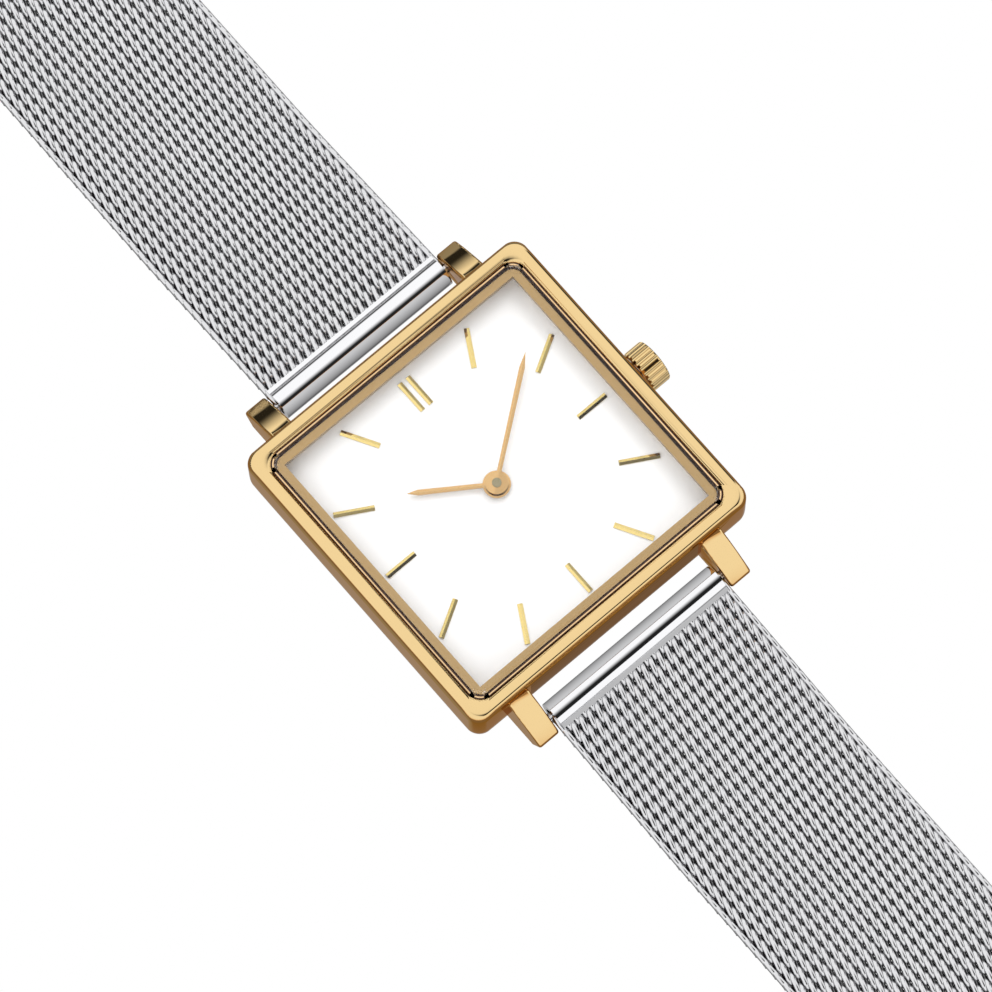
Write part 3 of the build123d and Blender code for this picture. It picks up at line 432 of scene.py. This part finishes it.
# Its wire: open outer coils side by side, with a flat core coil behind the gaps of each
ROW_PITCH = 1.04
COIL_PITCH = 0.728
COIL_TURNS = 22.5
COIL_HALF = 7.83
COIL_REACH = 0.86
COIL_RISE = 0.42
CORE_RISE = 0.16
COIL_SQUARE = 0.85
TOP_ADVANCE = 0.66
TURN_STEPS = 12
CORE_STEPS = 6
WIRE_R = 0.23
CORE_R = 0.13

# How much painted light each point of the wire gets, from its height, its dive past the row's edge, and one
# value for the core; low values get painted shade
DIVE_FROM = 0.5
DIVE_GAIN = 0.9
CORE_LIT = 0.49


def softened(distance, width):
    """Distance past a corner, eased in over a width on both sides of it."""
    if abs(distance) < width:
        return (distance + width) ** 2 / (4 * width)
    return max(distance, 0)


def midline(y, end):
    """Height of the band's middle and its slope at a distance from the hand axis."""

    def height(at):
        z = BAND_LOW + LEAD_DROP / LEAD_LONG * softened(JOINTS[0] - at, LEAD_EASE)
        if end < 0:
            climb = TAIL_RISE / (TAIL_FROM - JOINTS[3])
            z += climb * (softened(at - JOINTS[3], TAIL_EASE) - softened(at - TAIL_FROM, TAIL_EASE))
        return z

    step = 0.01
    return height(y), (height(y + step) - height(y - step)) / (2 * step)


def power(value, exponent):
    return math.copysign(abs(value) ** exponent, value)


def coil(rise, radius, steps, shift, roundness):
    """One flattened coil of wire along X, whose upper strands lean over as they run towards twelve."""
    curve = bpy.data.curves.new("coil", "CURVE")
    curve.dimensions = "3D"
    curve.bevel_depth = radius * MM
    curve.bevel_resolution = roundness
    curve.use_fill_caps = True
    count = int(COIL_TURNS * steps) + 1
    spline = curve.splines.new("POLY")
    spline.points.add(count - 1)
    for number in range(count):
        turn, step = divmod(number, steps)
        angle = 2 * math.pi * step / steps
        y = -COIL_REACH * power(math.cos(angle), COIL_SQUARE)
        z = rise * power(math.sin(angle), COIL_SQUARE)
        share = (y + COIL_REACH) / (2 * COIL_REACH)
        if step < steps / 2:
            along = TOP_ADVANCE * share
        else:
            along = TOP_ADVANCE + (1 - TOP_ADVANCE) * (1 - share)
        x = (turn + along + shift - COIL_TURNS / 2) * COIL_PITCH
        x = min(max(x, -COIL_HALF), COIL_HALF)
        spline.points[number].co = (x * MM, y * MM, z * MM, 1)
    holder = bpy.data.objects.new("coil", curve)
    bpy.context.scene.collection.objects.link(holder)
    bpy.context.view_layer.update()
    mesh = bpy.data.meshes.new_from_object(holder.evaluated_get(bpy.context.evaluated_depsgraph_get()))
    bpy.data.objects.remove(holder)
    return mesh


def coil_row():
    """A row of the weave: an open outer coil, and a flat one that lies behind its gaps."""
    bm = bmesh.new()
    outer = coil(COIL_RISE, WIRE_R, TURN_STEPS, shift=0, roundness=1)
    core = coil(CORE_RISE, CORE_R, CORE_STEPS, shift=0.5, roundness=0)
    outer_points = len(outer.vertices)
    for mesh in (outer, core):
        bm.from_mesh(mesh)
        bpy.data.meshes.remove(mesh)
    depth = bm.verts.layers.float.new("depth")
    for number, vertex in enumerate(bm.verts):
        if number < outer_points:
            dive = max(abs(vertex.co.y) / MM - DIVE_FROM, 0)
            vertex[depth] = abs(vertex.co.z) / ((COIL_RISE + WIRE_R) * MM) + DIVE_GAIN * dive
        else:
            # the core coil gets one value, which leaves it partly in painted shade
            vertex[depth] = CORE_LIT
    mesh = bpy.data.meshes.new("row")
    bm.to_mesh(mesh)
    bm.free()
    return mesh


row_mesh = coil_row()


def woven(name, end, rows, node):
    """The rows of one stretch of band, which stands for the given node."""
    bm = bmesh.new()
    for row in rows:
        y = WEAVE_FROM + (row + 0.5) * ROW_PITCH
        z, slope = midline(y, end)
        place = Matrix.Translation((0, end * y * MM, z * MM))
        copy = row_mesh.copy()
        copy.transform(place @ Matrix.Rotation(end * math.atan(slope), 4, "X"))
        bm.from_mesh(copy)
        bpy.data.meshes.remove(copy)
    mesh = bpy.data.meshes.new(name)
    bm.to_mesh(mesh)
    bm.free()
    mesh.shade_smooth()
    mesh.materials.append(materials["steel_mesh"])
    piece = bpy.data.objects.new(name, mesh)
    bpy.context.scene.collection.objects.link(piece)
    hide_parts(node)
    return piece


def rows_between(low, high):
    """The rows of wire from one distance to another. Row 0 starts at WEAVE_FROM."""
    first, last = (round((at - WEAVE_FROM) / ROW_PITCH) for at in (low, high))
    return range(first, last)


def bend(piece, after):
    """The piece's placement is baked into its mesh."""
    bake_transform(piece)


# The stretches part halfway between the joints, and one more row starts inside the jaw of each end tube.
halfway = [(low + high) / 2 for low, high in zip([WEAVE_FROM, *JOINTS], JOINTS)]
lead_rows = rows_between(WEAVE_FROM - ROW_PITCH, halfway[0])
for end, hour in ((1, "12"), (-1, "6")):
    lead = woven(f"weave_{hour}_lead", end, lead_rows, f"band_{hour}_lead")
    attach(lead, f"strap_{hour}")
    bodies = [f"strap_{hour}", *(f"link_{hour}_{n}" for n in (1, 2, 3))]
    stops = [*halfway[:3], JOINTS[3] if end > 0 else halfway[3]]
    for n, (low, high) in enumerate(zip(stops, stops[1:])):
        rows = rows_between(low, high)
        link = woven(f"weave_{hour}_{n + 1}", end, rows, f"band_{hour}_link_{n + 1}")
        bend(link, bodies[n + 1])
ramp_to = (JOINTS[3] + TAIL_FROM) / 2
turn_to = TAIL_FROM + LINK_LONG
ramp = woven("weave_6_ramp", -1, rows_between(halfway[3], ramp_to), "band_6_ramp")
bend(ramp, "ramp_6")
turn_up = woven("weave_6_turn", -1, rows_between(ramp_to, turn_to), "band_6_tail")
bend(turn_up, "tail_6")
tail = woven("weave_6_tail", -1, rows_between(turn_to, TAIL_TO), "band_6_tail")
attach(tail, "tail_6")
bpy.data.meshes.remove(row_mesh)

# Camera, fitted to the markers, the inner frame, the crown and the band's edges in the photograph
RIGHT = Vector((0.75918, -0.6508, -0.00979))
DOWN = Vector((-0.63132, -0.73263, -0.25435))
FORWARD = Vector((0.15836, 0.19928, -0.96706))
CAMERA_AT = Vector((-80.113, -100.669, 490.16)) * MM
SENSOR = 36.0
IMAGE = 992
FOCAL_PIXELS = 7000
camera_data = bpy.data.cameras.new("camera")
camera_data.sensor_width = SENSOR
camera_data.lens = FOCAL_PIXELS / IMAGE * SENSOR
camera_data.clip_start = 0.01
camera_data.clip_end = 10
camera = bpy.data.objects.new("camera", camera_data)
turned = Matrix((RIGHT, -DOWN, -FORWARD)).transposed().to_4x4()
camera.matrix_world = Matrix.Translation(CAMERA_AT) @ turned
bpy.context.scene.collection.objects.link(camera)
bpy.context.scene.camera = camera
bpy.context.scene.view_settings.view_transform = "Standard"

# Surroundings by direction: a white dome with a black card over six o'clock and dark stretches of horizon at
# twelve and at the crown, and dim light from below. The camera itself sees pure white, as in the photograph.
DOME = 1.6
BELOW = 0.5


def surroundings():
    world = bpy.data.worlds.new("studio")
    bpy.context.scene.world = world
    world.use_nodes = True
    graph = Graph(world.node_tree)
    x, y, z = graph.axes(graph.node("ShaderNodeTexCoord", {}, {}, "Generated"))
    degrees = 180 / math.pi
    to_six = graph.math("ARCTAN2", 0 - y, z) * degrees
    to_crown = graph.math("ARCTAN2", x, z) * degrees
    card = graph.stripe(to_six, (-12.0, 20.0), (40.5, 42.0))
    card = card * graph.stripe(to_crown, (-22.0, -6.0), (24.0, 40.0))
    crown_shade = graph.stripe(y, (0.12, 0.17), (0.25, 0.3)) * graph.smooth(to_crown, 30.0, 62.0)
    twelve_shade = graph.smooth(0 - to_six, 70.0, 84.0)
    bright = DOME * (1 - 0.985 * card) * (1 - 0.98 * crown_shade) * (1 - 0.98 * twelve_shade)
    below = graph.smooth(0 - z, 0.0, 0.03)
    bright = bright * (1 - below) + BELOW * below
    seen = graph.node("ShaderNodeLightPath", {}, {}, "Is Camera Ray")
    bright = bright * (1 - seen) + seen
    light = graph.node("ShaderNodeBackground", {}, {0: WHITE, 1: bright})
    graph.node("ShaderNodeOutputWorld", {}, {"Surface": light})


surroundings()


def lamp(name, place, size, power_watts):
    """A square lamp, placed in metres, that shines at the middle of the watch and isn't mirrored in it."""
    data = bpy.data.lights.new(name, "AREA")
    data.size = size
    data.energy = power_watts
    made = bpy.data.objects.new(name, data)
    made.location = place
    made.rotation_mode = "QUATERNION"
    made.rotation_quaternion = (-Vector(place)).to_track_quat("-Z", "Y")
    made.visible_glossy = False
    bpy.context.scene.collection.objects.link(made)


lamp("key", place=(0.35, 0.3, 0.45), size=0.3, power_watts=1.2)


def sheet(name, half_wide, half_long, place, look, hidden_from):
    """A flat sheet that belongs to the view, hidden from some kinds of ray."""
    bm = bmesh.new()
    bmesh.ops.create_grid(bm, x_segments=1, y_segments=1, size=1)
    bmesh.ops.scale(bm, vec=(half_wide * MM, half_long * MM, 1), verts=bm.verts)
    bmesh.ops.transform(bm, matrix=place, verts=bm.verts)
    mesh = bpy.data.meshes.new(name)
    bm.to_mesh(mesh)
    bm.free()
    mesh.materials.append(look)
    made = bpy.data.objects.new(name, mesh)
    for ray in hidden_from:
        setattr(made, f"visible_{ray}", False)
    bpy.context.scene.collection.objects.link(made)


# Table of white paper. It gives and stops soft light, and hides nothing that a joint swings below it.
TABLE_HALF = 3000


def paper(graph):
    return graph.node("ShaderNodeBsdfDiffuse", {}, {0: varied(graph, linear(200, 200, 200), 0.03, 0.1)})


sheet("table", TABLE_HALF, TABLE_HALF, Matrix(), material("paper", paper), ("camera", "glossy"))

# Small glowing cards in the gaps beside the case, seen only in reflections: painted reflections that put a
# grey band in the end tubes, and painted shade on their backs that keeps the case's walls dark
PAINTED_CARD_HALF_WIDE = 7.9
PAINTED_CARD_HALF_HIGH = 2.75
PAINTED_CARD_FROM_MIDDLE = 13.06
PAINTED_CARD_Z = 2.85


def reflection_and_shade_card(graph):
    """Painted reflection: grey that brightens upwards on the side of the end tube; painted shade: dim on the
    side of the case.
    """
    _, _, height = graph.axes(graph.place())
    bright = 0.05 + 0.95 * graph.smooth(height, 0.0, 5.0)
    back = graph.node("ShaderNodeNewGeometry", {}, {}, "Backfacing")
    grey = graph.node("ShaderNodeEmission", {}, {0: graph.tint((0.95, 0.95, 0.95), bright), 1: 1.0})
    # painted shade that the case's walls mirror
    deep = graph.node("ShaderNodeEmission", {}, {0: (0.3, 0.3, 0.3, 1.0), 1: 1.0})
    return graph.node("ShaderNodeMixShader", {}, {0: back, 1: grey, 2: deep})


reflection_and_shade_look = material("reflection_and_shade_card", reflection_and_shade_card)
all_but_glossy = ("camera", "diffuse", "shadow", "transmission")
for end, hour in ((1, "12"), (-1, "6")):
    upright = Matrix.Rotation(math.radians(-90 * end), 4, "X")
    at = Matrix.Translation((0, end * PAINTED_CARD_FROM_MIDDLE * MM, PAINTED_CARD_Z * MM)) @ upright
    sheet(f"bounce_{hour}", PAINTED_CARD_HALF_WIDE, PAINTED_CARD_HALF_HIGH, at, reflection_and_shade_look, all_but_glossy)

bpy.context.view_layer.update()
